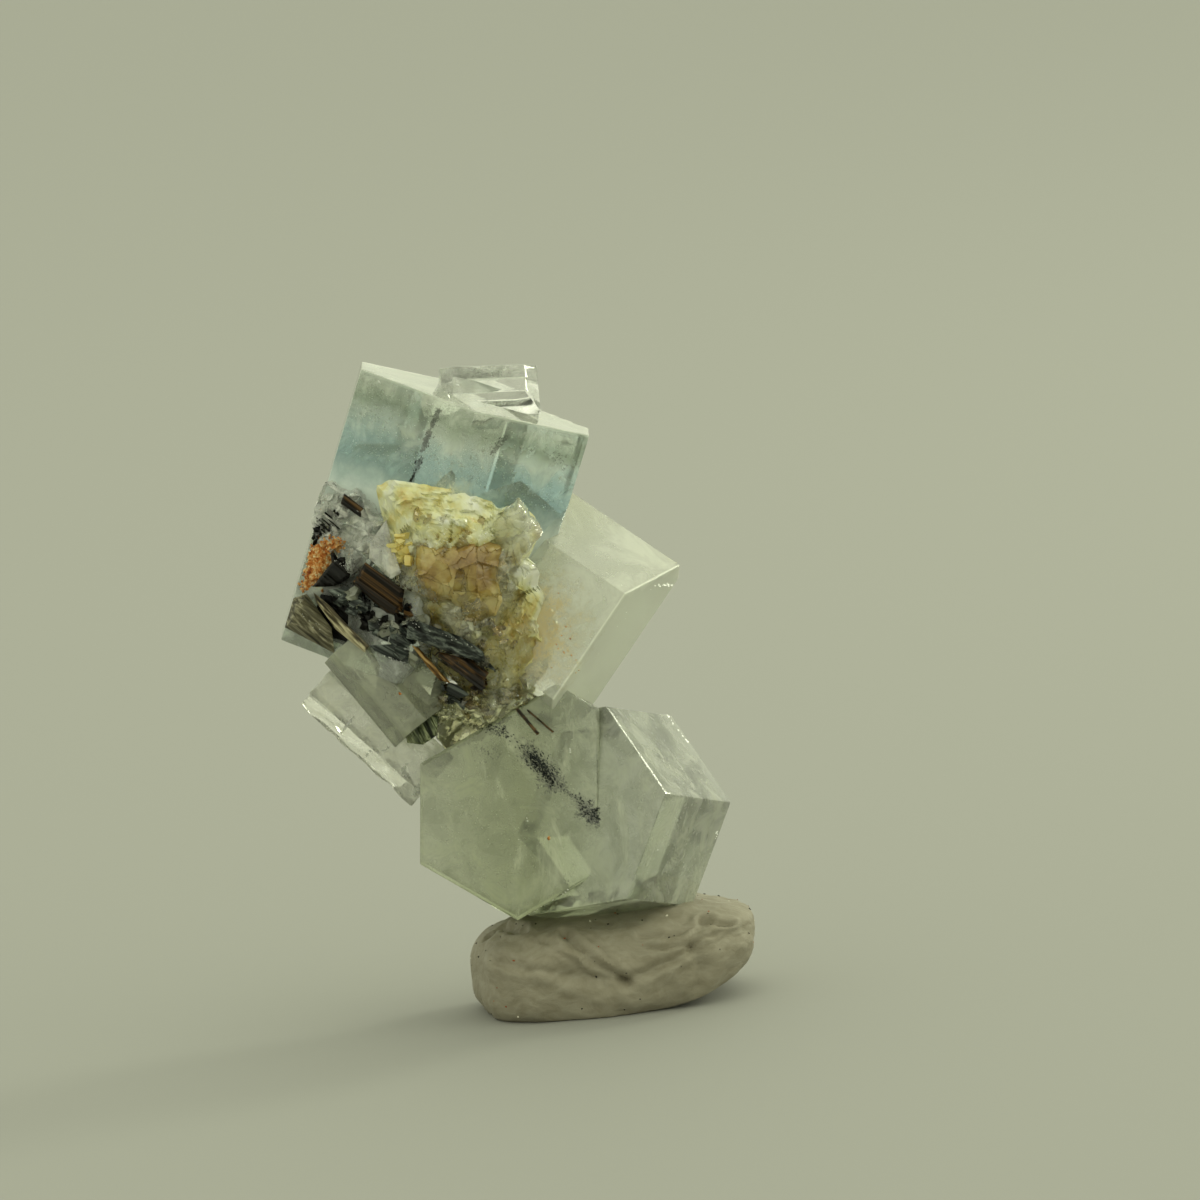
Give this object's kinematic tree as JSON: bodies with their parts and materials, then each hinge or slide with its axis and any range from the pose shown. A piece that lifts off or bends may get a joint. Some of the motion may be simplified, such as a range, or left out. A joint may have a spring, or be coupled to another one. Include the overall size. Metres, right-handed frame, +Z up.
{
  "type": "aquamarine specimen",
  "caption": "Thumbnail mineral specimen: intergrown blue and greenish beryl crystals with black tourmaline and iron-stained matrix, stood upright in a lump of display putty.",
  "frame": {"origin": "on the floor, under the middle of the bounding box", "axes": "+Z up, +X to the viewer's right, -Y towards the viewer who sees the black tourmaline"},
  "size_m": [0.0172, 0.0098, 0.0253],
  "materials": {
    "beryl": "polished",
    "matrix": "rough",
    "iron_oxide": "rough",
    "putty": "matte",
    "schorl": "glossy"
  },
  "bodies": {
    "root": {"aquamarine_cluster": "beryl", "stained_matrix": "matrix", "iron_oxide_crust": "iron_oxide", "putty_base": "putty", "schorl_knob": "schorl", "schorl_brown_prism": "schorl", "schorl_left_prism": "schorl", "schorl_long_prism": "schorl", "schorl_shard": "schorl", "schorl_beak": "schorl", "schorl_dark_prism": "schorl", "schorl_stub": "schorl", "schorl_thick_needle": "schorl", "schorl_thin_needle": "schorl"}
  },
  "joints": []
}
